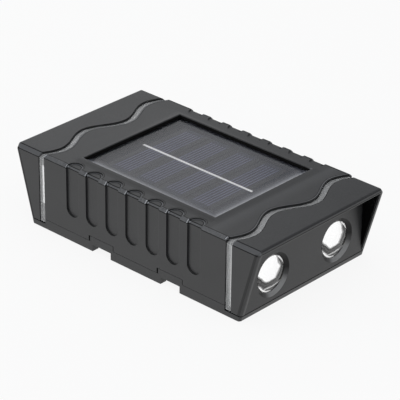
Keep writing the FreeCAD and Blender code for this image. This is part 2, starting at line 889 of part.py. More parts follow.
for i, (x, sign) in enumerate(TABS):
    y = ("-body_width", "notch_depth - half_width + slide_gap")
    if sign > 0:
        y = ("half_width - notch_depth - slide_gap", "body_width")
    plate_cuts.append(
        block(f"plate_notch_{i}", (f"{x} - notch_width / 2", f"{x} + notch_width / 2"), y,
              ("-1", "body_width"))
    )
RELIEFS = [
    ("-plate_x / 2 - relief_length / 6", "-plate_y / 2"),
    ("plate_x / 2 + relief_length / 6", "-plate_y / 2"),
    ("0", "-plate_y / 2"),
    ("0", "plate_y / 2"),
    ("-plate_x / 2 - relief_length / 6", "plate_y / 2"),
]
for i, (x, y) in enumerate(RELIEFS):
    plate_cuts.append(
        block(f"relief_{i}", (f"{x} - relief_length / 2", f"{x} + relief_length / 2"),
              (f"{y} - relief_width / 2", f"{y} + relief_width / 2"), ("-1", "relief_depth"))
    )
wall_plate = node(cut("wall_plate", plate_blank, plate_cuts))

# ---------------------------------------------------------------------------------------------
# Solar panel: backing, four cells, silver ribbon and clear face, behind a black window seal
# ---------------------------------------------------------------------------------------------
solar_backing = node(
    block("solar_backing", ("-panel_x", "panel_x"), ("-panel_y", "panel_y"),
          ("backing_bottom", "backing_top"))
)
cells = [
    block(f"cell_{i}",
          (f"cell_pitch * ({i} - (cell_count - 1) / 2) - cell_width / 2",
           f"cell_pitch * ({i} - (cell_count - 1) / 2) + cell_width / 2"),
          ("-cell_length / 2", "cell_length / 2"), ("backing_top", "cell_top"))
    for i in range(int(value("cell_count")))
]
solar_cells = node(group("solar_cells", cells))
cell_ribbon = node(
    block("cell_ribbon", ("-ribbon_length / 2", "ribbon_length / 2"),
          ("-ribbon_width / 2", "ribbon_width / 2"), ("cell_top", "ribbon_top"))
)
panel_glaze = node(
    block("panel_glaze", ("-panel_x", "panel_x"), ("-panel_y", "panel_y"),
          ("glaze_bottom", "panel_top"))
)
seal_blank = fuse(
    "seal_blank",
    [
        block("seal_flange", ("-panel_x", "panel_x"), ("-panel_y", "panel_y"),
              ("panel_top", "panel_top + seal_thickness")),
        block("seal_lining",
              ("strip_gap / 2 - window_length / 2", "window_length / 2 - strip_gap / 2"),
              ("strip_gap / 2 - window_width / 2", "window_width / 2 - strip_gap / 2"),
              ("panel_top", "frame_top - seal_drop")),
    ],
)
panel_seal = node(
    cut("panel_seal", seal_blank, [
        block("seal_opening",
              ("seal_lip - window_length / 2", "window_length / 2 - seal_lip"),
              ("seal_lip - window_width / 2", "window_width / 2 - seal_lip"),
              ("0", "body_width"))
    ])
)

# ---------------------------------------------------------------------------------------------
# Lamps of one end: lenses, reflectors, board and chips
# ---------------------------------------------------------------------------------------------
OTHER = {"near": "far", "far": "near"}
dome_radius = "((lens_hole_radius - lens_gap)^2 + lens_dome^2) / (2 * lens_dome)"
chips = []
for side, y in SIDES:
    ball = doc.addObject("Part::Sphere", f"lens_ball_{side}")
    ball.setExpression("Radius", full(dome_radius))
    place(ball, f"lens_shoulder + lens_dome - {dome_radius}", y, "lens_height")
    dome = common(
        f"lens_dome_{side}",
        [ball, rod(f"lens_core_{side}", "x", ("lens_back", y, "lens_height"),
                   "lens_hole_radius - lens_gap", "lens_shoulder + lens_dome - lens_back")],
    )
    flange = rod(f"lens_flange_{side}", "x", ("lens_back", y, "lens_height"),
                 "lens_flange_radius", "lens_flange")
    lens = node(fuse(f"lens_right_{side}", [dome, flange]))
    node(half_turned(f"lens_left_{OTHER[side]}", lens))
    cup = rod(f"cup_{side}", "x", ("reflector_back", y, "lens_height"), "reflector_radius",
              "reflector_front - reflector_back")
    bowl = cone(f"bowl_{side}", "x", ("reflector_back", y, "lens_height"), "reflector_throat",
                "reflector_radius - reflector_wall", "reflector_front - reflector_back")
    reflector = node(cut(f"reflector_right_{side}", cup, [bowl]))
    node(half_turned(f"reflector_left_{OTHER[side]}", reflector))
    chips.append(
        block(f"chip_{side}", ("led_face", "led_face + led_chip_height"),
              (f"{y} - led_chip_width / 2", f"{y} + led_chip_width / 2"),
              ("lens_height - led_chip_width / 2", "lens_height + led_chip_width / 2"))
    )
led_board_right = node(
    block("led_board_right", ("led_board_place", "led_face"),
          ("-led_board_length / 2", "led_board_length / 2"),
          ("led_board_low", "led_board_low + led_board_height"))
)
led_board_left = node(half_turned("led_board_left", led_board_right))
led_chips_right = node(group("led_chips_right", chips))
led_chips_left = node(half_turned("led_chips_left", led_chips_right))

# side light boards: narrow boards with three small lights each, behind the neck's windows
side_leds = []
for side, sign in (("near", -1), ("far", 1)):
    y = ("-side_board_out", "-side_board_in") if sign < 0 else ("side_board_in", "side_board_out")
    board = node(
        block(f"side_light_board_right_{side}",
              ("window_x + side_window_width / 2 - side_board_width / 2",
               "window_x + side_window_width / 2 + side_board_width / 2"), y,
              ("side_window_low - fit_gap * 10", "side_window_high + fit_gap * 5"))
    )
    node(half_turned(f"side_light_board_left_{OTHER[side]}", board))
    led_y = ("-(side_board_out + led_chip_height)", "-side_board_out")
    if sign > 0:
        led_y = ("side_board_out", "side_board_out + led_chip_height")
    for i in range(int(value("side_led_count"))):
        height = (
            "side_window_low + (side_window_high - side_window_low)"
            f" * ({i} + 0.5) / side_led_count"
        )
        side_leds.append(
            block(f"side_led_{side}_{i}",
                  ("window_x + side_window_width / 2 - side_led_width / 2",
                   "window_x + side_window_width / 2 + side_led_width / 2"), led_y,
                  (f"{height} - side_led_length / 2", f"{height} + side_led_length / 2"))
        )
side_light_leds_right = node(group("side_light_leds_right", side_leds))
side_light_leds_left = node(half_turned("side_light_leds_left", side_light_leds_right))

# ---------------------------------------------------------------------------------------------
# Control board, on four pinned posts
# ---------------------------------------------------------------------------------------------
control_board = node(
    cut(
        "control_board",
        block("board_slab", ("board_left", "board_right"), ("board_near", "board_far"),
              ("board_bottom", "board_top")),
        [
            rod(f"board_hole_{i}", "z", (x, y, "0"), "post_pin_radius + post_pin_gap",
                "body_width")
            for i, (x, y) in enumerate(POSTS)
        ],
    )
)
board_components = node(
    group(
        "board_components",
        [
            block("controller_chip", ("board_left + 14", "board_left + 19"),
                  ("board_near + 12", "board_near + 16"), ("board_top", "board_top + 1.5")),
            rod("coil", "z", ("board_left + 29", "board_near + 17", "board_top"), "2.8", "4.2"),
            rod("capacitor_one", "z", ("board_left + 38", "board_near + 19", "board_top"),
                "2.5", "6"),
            rod("capacitor_two", "z", ("board_left + 8", "board_near + 21", "board_top"),
                "2", "5"),
        ],
    )
)

# ---------------------------------------------------------------------------------------------
# Battery in its holder, between a spring and a contact plate
# ---------------------------------------------------------------------------------------------
can = rod("battery_can", "x", ("battery_back", "battery_y", "battery_z"), "battery_radius",
          "battery_length")
positive_nub = rod("battery_nub", "x", ("battery_back", "battery_y", "battery_z"), "nub_radius",
                   "battery_length + nub_length")
battery_cell = node(fuse("battery_cell", [can, positive_nub]))
spring_face = "(2 * battery_x - contact_face)"
holder_start = "(2 * battery_x - holder_end)"
holder = fuse(
    "battery_holder",
    [
        block("holder_base", (f"{holder_start} - holder_wall", "holder_end + holder_wall"),
              ("battery_y - holder_y - holder_wall", "battery_y + holder_y + holder_wall"),
              ("skirt_height", "skirt_height + holder_floor")),
        block("holder_near", (f"{holder_start} - holder_wall", "holder_end + holder_wall"),
              ("battery_y - holder_y - holder_wall", "battery_y - holder_y"),
              ("skirt_height", "skirt_height + holder_side_height")),
        block("holder_far", (f"{holder_start} - holder_wall", "holder_end + holder_wall"),
              ("battery_y + holder_y", "battery_y + holder_y + holder_wall"),
              ("skirt_height", "skirt_height + holder_side_height")),
        block("holder_plus_end", ("holder_end", "holder_end + holder_wall"),
              ("battery_y - holder_y - holder_wall", "battery_y + holder_y + holder_wall"),
              ("skirt_height", "skirt_height + holder_end_height")),
        block("holder_minus_end", (f"{holder_start} - holder_wall", holder_start),
              ("battery_y - holder_y - holder_wall", "battery_y + holder_y + holder_wall"),
              ("skirt_height", "skirt_height + holder_end_height")),
    ],
)
battery_holder = node(holder)
for name, low, high in (
    ("contact_plate", "contact_face", "contact_face + contact_thickness"),
    ("spring_plate", f"{spring_face} - contact_thickness", spring_face),
):
    node(
        block(name, (low, high),
              ("battery_y - contact_width / 2", "battery_y + contact_width / 2"),
              ("skirt_height + holder_floor + battery_gap",
               "skirt_height + holder_floor + battery_gap + contact_height"))
    )


def coil_spring():
    """A compression spring of round wire, from the spring plate to the cell."""
    wire = value("spring_wire")
    start = value(spring_face) + wire + 0.02
    room = value("battery_back") - wire - 0.02 - start
    turns = value("spring_turns")
    helix = Part.makeHelix(room / turns, room, value("spring_radius"))
    ring = Part.Wire(
        Part.makeCircle(wire, Vector(value("spring_radius"), 0, 0), Vector(0, 1, 0))
    )
    coil = Part.Wire(helix).makePipeShell([ring], True, True)
    coil.Placement = Placement(
        Vector(start, value("battery_y"), value("battery_z")), Rotation(Vector(0, 1, 0), 90)
    )
    return coil


contact_spring = node(formed("contact_spring", coil_spring()))

# ---------------------------------------------------------------------------------------------
# Slide switch: the knob reaches back through the tray's slot and the wall plate's opening
# ---------------------------------------------------------------------------------------------
slide_middle = "(switch_x + switch_travel / 2)"
switch_body = node(
    cut(
        "switch_body",
        block("switch_case",
              (f"{slide_middle} - switch_length / 2", f"{slide_middle} + switch_length / 2"),
              ("switch_y - switch_width / 2", "switch_y + switch_width / 2"),
              ("switch_bottom", "switch_top")),
        [
            block("switch_channel",
                  ("switch_x - knob_flange_length / 2 - slide_gap",
                   "switch_x + knob_flange_length / 2 + switch_travel + slide_gap"),
                  ("switch_y - knob_flange_width / 2 - slide_gap",
                   "switch_y + knob_flange_width / 2 + slide_gap"),
                  ("switch_bottom + switch_wall", "flange_top + slide_gap")),
            block("switch_mouth",
                  ("switch_x - knob_length / 2 - slide_gap",
                   "switch_x + knob_length / 2 + switch_travel + slide_gap"),
                  ("switch_y - knob_width / 2 - slide_gap",
                   "switch_y + knob_width / 2 + slide_gap"),
                  ("0", "flange_top")),
        ],
    )
)
knob_blank = fuse(
    "knob_blank",
    [
        block("knob_stem", ("switch_x - knob_length / 2", "switch_x + knob_length / 2"),
              ("switch_y - knob_width / 2", "switch_y + knob_width / 2"),
              ("knob_recess", "flange_top")),
        block("knob_flange",
              ("switch_x - knob_flange_length / 2", "switch_x + knob_flange_length / 2"),
              ("switch_y - knob_flange_width / 2", "switch_y + knob_flange_width / 2"),
              ("flange_bottom", "flange_top")),
    ],
)
knob_grooves = [
    block(f"knob_groove_{i}",
          (f"switch_x + knob_length * ({i} - 1) / 4 - knob_length / 16",
           f"switch_x + knob_length * ({i} - 1) / 4 + knob_length / 16"),
          ("switch_y - knob_width", "switch_y + knob_width"),
          ("0", "knob_recess + knob_length / 10"))
    for i in range(3)
]
switch_knob = node(cut("switch_knob", knob_blank, knob_grooves))


# ---------------------------------------------------------------------------------------------
# Insulated wires inside the housing
# ---------------------------------------------------------------------------------------------
def lead(corners):
    """A round wire along straight runs joined by tangent arcs."""
    points = [Vector(*(value(text) for text in corner)) for corner in corners]
    bend = value("lead_bend")
    edges = []
    start = points[0]
    for before, corner, after in zip(points, points[1:], points[2:]):
        along = (corner - before).normalize()
        onward = (after - corner).normalize()
        turn = along.getAngle(onward)
        trim = bend * math.tan(turn / 2)
        enter, leave = corner - along * trim, corner + onward * trim
        centre_way = (onward - along).normalize()
        centre = corner + centre_way * (bend / math.cos(turn / 2))
        edges.append(Part.makeLine(start, enter))
        edges.append(Part.Arc(enter, centre - centre_way * bend, leave).toShape())
        start = leave
    edges.append(Part.makeLine(start, points[-1]))
    path = Part.Wire(edges)
    ring = Part.Wire(
        Part.makeCircle(value("lead_radius"), points[0], (points[1] - points[0]).normalize())
    )
    tube = path.makePipeShell([ring], True, False)
    section_area = math.pi * value("lead_radius") ** 2
    if abs(tube.Volume / (section_area * path.Length) - 1) > 0.02:
        raise RuntimeError("a lead's volume isn't its section times its length")
    return tube


led_leads = {"right": [], "left": []}
for i in (0, 1):
    y = f"board_near + lead_radius * 6 + {i} * lead_pitch"
    led_leads["right"].append(
        lead([("board_right - post_inset / 2", y, "board_top"),
              ("board_right - post_inset / 2", y, "lead_top"),
              ("led_board_place", y, "lead_top")])
    )
    led_leads["left"].append(
        lead([("board_left + post_inset / 2", y, "board_top"),
              ("board_left + post_inset / 2", y, "lead_top"),
              ("-led_board_place", y, "lead_top")])
    )
for end in ("right", "left"):
    node(formed(f"led_leads_{end}", Part.makeCompound(led_leads[end])))

panel_lead_x = "(board_left + board_right) / 2"
panel_leads = node(
    formed(
        "panel_leads",
        Part.makeCompound([
            lead([(panel_lead_x, f"board_far - post_inset + {i} * lead_pitch * -1", "board_top"),
                  (panel_lead_x, f"board_far - post_inset + {i} * lead_pitch * -1",
                   "board_top + lead_bend * 3"),
                  (f"{panel_lead_x} + lead_bend * 3",
                   f"board_far - post_inset + {i} * lead_pitch * -1",
                   "backing_bottom - lead_bend * 3"),
                  (f"{panel_lead_x} + lead_bend * 3",
                   f"board_far - post_inset + {i} * lead_pitch * -1", "backing_bottom")])
            for i in (0, 1)
        ]),
    )
)
contact_top = "skirt_height + holder_floor + battery_gap + contact_height"
battery_leads = node(
    formed(
        "battery_leads",
        Part.makeCompound([
            lead([(x, "battery_y", contact_top),
                  (x, "battery_y", f"{contact_top} + lead_bend * 2"),
                  (foot, "board_near + lead_radius * 2", f"{contact_top} + lead_bend * 2"),
                  (foot, "board_near + lead_radius * 2", "board_top")])
            for x, foot in (
                ("contact_face + contact_thickness / 2", "board_right - post_inset * 2"),
                (f"{spring_face} - contact_thickness / 2", "board_left + post_inset * 2.5"),
            )
        ]),
    )
)

# ---------------------------------------------------------------------------------------------
# Test every object, then write one file for each sub-part
# ---------------------------------------------------------------------------------------------
doc.recompute()
for item in doc.Objects:
    if "Invalid" in item.State or "Error" in item.State:
        raise RuntimeError(f"{item.Label} failed: {item.State}")
labels = [item.Label for item in NODES]
if len(set(labels)) != len(labels):
    raise RuntimeError("two sub-parts have one name")
for item in NODES:
    if item.Shape.isNull() or not item.Shape.isValid() or not item.Shape.Solids:
        raise RuntimeError(f"{item.Label} has no valid solid")
os.makedirs("parts", exist_ok=True)
for item in NODES:
    item.Shape.exportStep(f"parts/{item.Label}.step")
    print(f"{item.Label}: {len(item.Shape.Solids)} solids, {item.Shape.Volume / 1000:.2f} cm3")
print(f"{len(NODES)} sub-parts")
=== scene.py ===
import math

import bmesh
import bpy
from mathutils import Matrix, Vector


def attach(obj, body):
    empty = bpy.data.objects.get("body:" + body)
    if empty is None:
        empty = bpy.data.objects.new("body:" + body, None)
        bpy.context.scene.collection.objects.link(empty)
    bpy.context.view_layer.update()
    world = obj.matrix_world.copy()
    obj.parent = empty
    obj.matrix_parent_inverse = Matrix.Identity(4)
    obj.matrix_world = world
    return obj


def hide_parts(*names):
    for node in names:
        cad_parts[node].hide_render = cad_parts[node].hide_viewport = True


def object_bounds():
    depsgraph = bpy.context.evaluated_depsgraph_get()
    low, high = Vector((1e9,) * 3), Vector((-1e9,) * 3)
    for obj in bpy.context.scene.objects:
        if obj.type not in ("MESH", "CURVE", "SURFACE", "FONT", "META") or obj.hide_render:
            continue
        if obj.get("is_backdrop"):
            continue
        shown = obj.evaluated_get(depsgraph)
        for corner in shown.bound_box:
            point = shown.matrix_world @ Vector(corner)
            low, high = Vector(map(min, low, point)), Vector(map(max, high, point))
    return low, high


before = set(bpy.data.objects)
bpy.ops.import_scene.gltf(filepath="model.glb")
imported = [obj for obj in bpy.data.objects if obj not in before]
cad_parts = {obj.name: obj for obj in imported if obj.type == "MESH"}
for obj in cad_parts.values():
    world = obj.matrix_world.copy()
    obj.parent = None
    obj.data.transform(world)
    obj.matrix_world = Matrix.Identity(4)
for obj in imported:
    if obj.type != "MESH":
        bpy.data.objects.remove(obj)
cad_box = [list(corner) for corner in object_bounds()]
scene = bpy.context.scene

# ------------------------------------------------------------------------------------------
# Camera. It stands off the near right corner, a little above, where the photograph was taken.
# The turn, the height and the small roll come from the edges of the housing in the picture.
# ------------------------------------------------------------------------------------------
turn, height, roll = math.radians(42.739), math.radians(27.859), math.radians(0.69)
distance, aim = 0.9393, Vector((0, 0, 0.01778))
back = Vector(
    (math.sin(turn) * math.cos(height), -math.cos(turn) * math.cos(height), math.sin(height))
)
level = Vector((math.cos(turn), math.sin(turn), 0))
upright = back.cross(level)
across = math.cos(roll) * level + math.sin(roll) * upright
upward = math.cos(roll) * upright - math.sin(roll) * level
camera = bpy.data.objects.new("camera", bpy.data.cameras.new("camera"))
camera.matrix_world = Matrix.Translation(aim + distance * back) @ Matrix(
    (across, upward, back)
).transposed().to_4x4()
camera.data.sensor_width = 36
camera.data.lens = 194.71
camera.data.shift_x = 0.00906
camera.data.shift_y = 0.00467
camera.data.clip_start = 0.05
camera.data.clip_end = 20
scene.collection.objects.link(camera)
scene.camera = camera


# ------------------------------------------------------------------------------------------
# Studio. A white floor that sweeps up into a pale grey room, which gloss and glass see as it is,
# with an overhead softbox, one behind and one at the left, as for a catalogue picture.
# ------------------------------------------------------------------------------------------
class Field:
    """A value that varies over a surface: an output socket that can be reckoned with.
    Masks are fields of 0 and 1, joined with & and |."""

    def __init__(self, socket):
        self.socket = socket
        self.tree = socket.id_data

    def into(self, entry):
        """Feeds this value to an input socket."""
        self.tree.links.new(self.socket, entry)

    def step(self, operation, *others, kind="ShaderNodeMath"):
        """The result of a maths node over this value and others, which may be plain numbers."""
        made = self.tree.nodes.new(kind)
        made.operation = operation
        for entry, term in zip(made.inputs, (self, *others)):
            if isinstance(term, Field):
                term.into(entry)
            else:
                entry.default_value = term
        return Field(made.outputs[0])

    def colour_step(self, operation, other):
        """The same over the three parts of a colour."""
        return self.step(operation, other, kind="ShaderNodeVectorMath")

    def between(self, low, high):
        """1 where the value lies between two others, 0 elsewhere."""
        return (self > low) & (self < high)

    def along(self, low, high):
        """0 where the value is low, rising evenly to 1 where it is high."""
        return self * (1 / (high - low)) + low / (low - high)

    def __add__(self, other):
        return self.step("ADD", other)

    def __sub__(self, other):
        return self.step("SUBTRACT", other)

    def __mul__(self, other):
        return self.step("MULTIPLY", other)

    def __truediv__(self, other):
        return self.step("DIVIDE", other)

    def __abs__(self):
        return self.step("ABSOLUTE")

    def __gt__(self, other):
        return self.step("GREATER_THAN", other)

    def __lt__(self, other):
        return self.step("LESS_THAN", other)

    def __and__(self, other):
        return self.step("MULTIPLY", other)

    def __or__(self, other):
        return self.step("MAXIMUM", other)


def ramp(value, stops):
    """A colour ramp over a value: stops are pairs of a place and a grey or a colour."""
    made = value.tree.nodes.new("ShaderNodeValToRGB")
    elements = made.color_ramp.elements
    while len(elements) < len(stops):
        elements.new(0.5)
    for element, (position, colour) in zip(elements, stops):
        element.position = position
        shade = colour if isinstance(colour, tuple) else (colour, colour, colour)
        element.color = (*shade, 1)
    value.into(made.inputs["Fac"])
    return Field(made.outputs["Color"])


def seen_direct(tree):
    """1 for what the camera, clear glass or a mirror sees, 0 for what only lights the room."""
    rays = tree.nodes.new("ShaderNodeLightPath").outputs
    straight, through_glass = Field(rays["Is Camera Ray"]), Field(rays["Is Transmission Ray"])
    return straight | through_glass | Field(rays["Is Glossy Ray"])


def finished(share, lighting, look, output):
    """Ends a tree with a mix of the shader that lights the room and the one that is seen."""
    mix = share.tree.nodes.new("ShaderNodeMixShader")
    share.into(mix.inputs["Fac"])
    Field(lighting.outputs[0]).into(mix.inputs[1])
    Field(look.outputs[0]).into(mix.inputs[2])
    Field(mix.outputs[0]).into(share.tree.nodes.new(output).inputs["Surface"])


white_low, grey_high = (0.955, 0.955, 0.955), (0.34, 0.35, 0.37)
scene.view_settings.view_transform = "Standard"
world = bpy.data.worlds.new("studio")
scene.world = world
world.use_nodes = True
tree = world.node_tree
tree.nodes.clear()
fill, backdrop = tree.nodes.new("ShaderNodeBackground"), tree.nodes.new("ShaderNodeBackground")
fill.inputs["Color"].default_value = (0.95, 0.97, 1.0, 1)
fill.inputs["Strength"].default_value = 0.6
split = tree.nodes.new("ShaderNodeSeparateXYZ")
Field(tree.nodes.new("ShaderNodeTexCoord").outputs["Generated"]).into(split.inputs["Vector"])
sweep = ramp(Field(split.outputs["Z"]), ((0.1, white_low), (0.4, grey_high)))
sweep.into(backdrop.inputs["Color"])
finished(seen_direct(tree), fill, backdrop, "ShaderNodeOutputWorld")

for name, place, size, power in (
    ("softbox_top", (0.1, -0.1, 0.75), 0.9, 2.4),
    ("softbox_back", (-0.5, 0.22, 0.36), 0.6, 0.50),
    ("softbox_left", (-0.8, -0.7, 0.3), 0.7, 1.9),
):
    lamp = bpy.data.objects.new(name, bpy.data.lights.new(name, "AREA"))
    lamp.data.size = size
    lamp.data.energy = power
    lamp.location = place
    lamp.rotation_euler = (-Vector(place)).to_track_quat("-Z", "Y").to_euler()
    scene.collection.objects.link(lamp)

floor_reach, floor_gap, shadow_share = 6.0, 0.0003, 0.08
bm = bmesh.new()
bmesh.ops.create_grid(bm, x_segments=1, y_segments=1, size=floor_reach)
bmesh.ops.translate(bm, verts=bm.verts, vec=(0, 0, -floor_gap))
floor = bpy.data.objects.new("floor", bpy.data.meshes.new("floor"))
bm.to_mesh(floor.data)
bm.free()
scene.collection.objects.link(floor)
paper = bpy.data.materials.new("paper")
paper.use_nodes = True
tree = paper.node_tree
tree.nodes.clear()
diffuse, glow = tree.nodes.new("ShaderNodeBsdfDiffuse"), tree.nodes.new("ShaderNodeEmission")
diffuse.inputs["Color"].default_value = (0.9, 0.9, 0.9, 1)
glow.inputs["Color"].default_value = (0.97, 0.97, 0.97, 1)
finished(seen_direct(tree) * (1 - shadow_share), diffuse, glow, "ShaderNodeOutputMaterial")
floor.data.materials.append(paper)
floor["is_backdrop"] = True


# ------------------------------------------------------------------------------------------
# Housing shells: dark grey moulded plastic with a fine spark-eroded texture. The middle cover,
# the hooded ends, the rear tray and the wall plate are separate mouldings, snapped and screwed.
# ------------------------------------------------------------------------------------------
def surface(name, colour, roughness, **more):
    """A material whose shader holds the even values, ready for detail."""
    made = bpy.data.materials.new(name)
    made.use_nodes = True
    shader = made.node_tree.nodes["Principled BSDF"]
    shader.inputs["Base Color"].default_value = (*colour, 1)
    shader.inputs["Roughness"].default_value = roughness
    for socket, value in more.items():
        shader.inputs[socket.replace("_", " ")].default_value = value
    return made, shader


def noise(made, grain, detail=2.0, stretch=(1, 1, 1)):
    """Noise with so many grains to the metre, drawn out along an axis by a small stretch."""
    nodes = made.node_tree.nodes
    mapping, texture = nodes.new("ShaderNodeMapping"), nodes.new("ShaderNodeTexNoise")
    mapping.inputs["Scale"].default_value = stretch
    Field(nodes.new("ShaderNodeTexCoord").outputs["Object"]).into(mapping.inputs["Vector"])
    texture.inputs["Scale"].default_value = grain
    texture.inputs["Detail"].default_value = detail
    Field(mapping.outputs["Vector"]).into(texture.inputs["Vector"])
    return Field(texture.outputs["Fac"])


def bumped(shader, value, depth, strength=1.0):
    """Raises the surface where a value is high, by a depth in metres."""
    raised = value.tree.nodes.new("ShaderNodeBump")
    raised.inputs["Strength"].default_value = strength
    raised.inputs["Distance"].default_value = depth
    value.into(raised.inputs["Height"])
    Field(raised.outputs["Normal"]).into(shader.inputs["Normal"])


def grained(name, low, high, rough, grain=1800.0, depth=0.00002, stretch=(1, 1, 1), **more):
    """A moulded or sprayed surface: cloudy colour, uneven sheen and a fine raised grain."""
    made, shader = surface(name, low, rough, **more)
    cloud = noise(made, grain=70.0, detail=4.0, stretch=stretch)
    fine = noise(made, grain, stretch=stretch)
    ramp(cloud, ((0.35, low), (0.65, high))).into(shader.inputs["Base Color"])
    sheen = ramp(fine, ((0.3, rough * 0.9), (0.7, min(1.0, rough * 1.12))))
    sheen.into(shader.inputs["Roughness"])
    bumped(shader, fine, depth)
    return made


def merged(node):
    """A mesh with the node's solid shape: its corners joined and its flat faces whole."""
    bm = bmesh.new()
    bm.from_mesh(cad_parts[node].data)
    bmesh.ops.remove_doubles(bm, verts=bm.verts, dist=2e-6)
    bmesh.ops.dissolve_limit(
        bm, angle_limit=math.radians(0.6), verts=bm.verts, edges=bm.edges, delimit={"NORMAL"}
    )
    return bm


def added(name, bm, material, body="body"):
    """Turns a mesh into a finished piece that rides on a body."""
    piece = bpy.data.objects.new(name, bpy.data.meshes.new(name))
    bm.to_mesh(piece.data)
    bm.free()
    piece.data.materials.append(material)
    scene.collection.objects.link(piece)
    for polygon in piece.data.polygons:
        polygon.use_smooth = True
    piece.data.set_sharp_from_angle(angle=math.radians(35))
    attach(piece, body)
    return piece


def eased(piece, width):
    """Small rounded edges, as a mould leaves them."""
    bevel = piece.modifiers.new("eased", "BEVEL")
    bevel.width = width
    bevel.segments = 2
    bevel.limit_method = "ANGLE"
    bevel.angle_limit = math.radians(30)
    bevel.harden_normals = True
    bevel.miter_outer = "MITER_ARC"
    flat = piece.modifiers.new("flat", "WEIGHTED_NORMAL")
    flat.keep_sharp = True
    flat.weight = 100
    return piece


def coordinates(made):
    """A place's x, y and z on the object, in metres."""
    nodes = made.node_tree.nodes
    split = nodes.new("ShaderNodeSeparateXYZ")
    Field(nodes.new("ShaderNodeTexCoord").outputs["Object"]).into(split.inputs["Vector"])
    return [Field(split.outputs[axis]) for axis in "XYZ"]


def feeding(entry):
    """The value that an input socket takes now."""
    return Field(entry.links[0].from_socket)


def toned(made, mask, scale, gloss_scale):
    """Multiplies the colour and the sheen of a plastic where a mask is 1."""
    inputs = made.node_tree.nodes["Principled BSDF"].inputs
    colour, gloss = inputs["Base Color"], inputs["Specular IOR Level"]
    feeding(colour).colour_step("MULTIPLY", mask * (scale - 1.0) + 1.0).into(colour)
    sheen = feeding(gloss) if gloss.is_linked else gloss.default_value
    ((mask * (gloss_scale - 1.0) + 1.0) * sheen).into(gloss)


def pitted(made, mask, grain, height):
    """Adds coarse pits to the fine grain where a mask is 1."""
    raised = feeding(made.node_tree.nodes["Principled BSDF"].inputs["Normal"])
    entry = raised.socket.node.inputs["Height"]
    (noise(made, grain, detail=1.0) * mask * height + feeding(entry)).into(entry)


def plastic(name):
    """The housing's dark grey plastic, with a grain too fine to see one by one."""
    return grained(name, (0.0115, 0.012, 0.013), (0.0145, 0.015, 0.016), 0.42,
                   Specular_IOR_Level=0.6)


def shell_places(made):
    """What a shell's marks are laid out by: x, y and z in metres, then x and y without their
    sign, and y turned with the end it is at."""
    x, y, z = coordinates(made)
    return x, y, z, abs(x), abs(y), y * x.step("SIGN")


def from_wave(out, turned, middle):
    """How far a place lies beyond the wavy edge of a slot, in metres."""
    wave_height, wave_pitch = 0.0034, 0.0392
    wave = (turned * (2 * math.pi / wave_pitch)).step("SINE")
    return out - (wave * wave_height + middle)


def reach(first, second):
    """How far a place lies from a middle, from its two distances across it."""
    return (first * first + second * second).step("SQRT")


def extent(node):
    """The lowest and the highest corner of a node of the solid model."""
    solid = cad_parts[node]
    corners = [solid.matrix_world @ Vector(corner) for corner in solid.bound_box]
    return Vector(map(min, zip(*corners))), Vector(map(max, zip(*corners)))


# the cover, with painted light and shade in its colour: the bevelled edge painted lighter between
# two painted dark lines, a painted shadow line and a painted highlight along the rolled lip of the
# wavy slots, a double painted dark line and a painted highlight round the head of each grip,
# painted shade at the far heads, painted highlight ticks and a painted highlight on each grip's
# wall, painted shade on the near flank, painted light on the right shoulder, and a painted
# highlight on the lip of the window. A pair is a line's two sides
cover_plastic = plastic("cover_plastic")
x, y, z, out, side, turned = shell_places(cover_plastic)
cover = extent("main_cover")[1]
bevel_side, bevel_low, shade_line_width = cover.y - 0.0015, cover.z - 0.0017, 0.00035
bevel_cut, bevel_round = 0.00275, 0.0003
roof_low, roof_side = cover.z - 0.0013, bevel_side - 0.0005
on_roof = z > roof_low
# the bevel: painted lighter below as painted light, and pitted
edge = (side > bevel_side) & (z > bevel_low) & (side + z > cover.y + cover.z - bevel_cut)
# painted dark lines along both sides of the bevel
bevel_shade_lines = (on_roof & side.between(bevel_side - shade_line_width, bevel_side)
          | (side > bevel_side + bevel_round) & z.between(bevel_low - shade_line_width, bevel_low))

# a painted shadow line and a painted highlight along the lip of the wavy slots
cover_edge, lip_shadow, lip_highlight = 0.0534, (-0.0009, -0.00062), (-0.00058, -0.00032)
lip = from_wave(out, turned, cover_edge)

# painted dark lines and a painted highlight round each grip's head, painted shade at the far
# heads, painted highlight ticks across the bevel and a painted highlight on each grip's wall
grip_pitch, grips_end, head_middle, far_head = 0.01193, 0.0400, 0.0383, 0.0362
head_outer_shade, head_shade, head_highlight = (0.00425, 0.00445), (0.0026, 0.0030), (0.00305, 0.00335)
far_head_shade, outer_highlight_tick, inner_highlight_tick = (-0.0040, -0.0031), (-0.00435, -0.00405), (-0.0036, -0.0033)
wall_width, wall_height = (0.0028, 0.0036), (0.0160, 0.0343)
along_grips = out < grips_end
across_grip = x - (x / grip_pitch).step("ROUND") * grip_pitch
facing = across_grip * (y.step("SIGN") * -1.0)
round_head = reach(across_grip, side - head_middle)
near_heads = on_roof & along_grips & (side < roof_side) & (y < 0.0)
far_heads = on_roof & along_grips & (y > far_head)
highlight_ticks = edge & along_grips & (facing.between(*outer_highlight_tick) | facing.between(*inner_highlight_tick))
grip_wall_highlight = (facing.between(*wall_width) & z.between(*wall_height)
             & (side > bevel_side) & along_grips)

# painted shade on the near flank of the window's frame, painted light on its right shoulder and a
# painted highlight round the lip of the window
open_x, open_y, lip_low = 0.03845, 0.03005, cover.z - 0.0011
lip_out, right_lip_in, near_lip_in, lip_end = 0.00065, 0.00045, 0.00005, 0.00075
frame_band, shoulder_start, shoulder_end = (-0.0345, -0.0318), 0.040, 0.050
near_flank_shade = y.between(*frame_band) & along_grips
right_lip = x.between(open_x - right_lip_in, open_x + lip_out) & (side < open_y + lip_end)
near_lip = y.between(-open_y - lip_out, -open_y + near_lip_in) & (out < open_x + lip_out)
window_lip_highlight = (z > lip_low) & (right_lip | near_lip)
shoulder_light = on_roof & (side < roof_side) & ramp(
    x.along(shoulder_start, shoulder_end), ((0.2, 0.0), (0.4, 1.0), (0.55, 0.85), (1.0, 0.0))
)
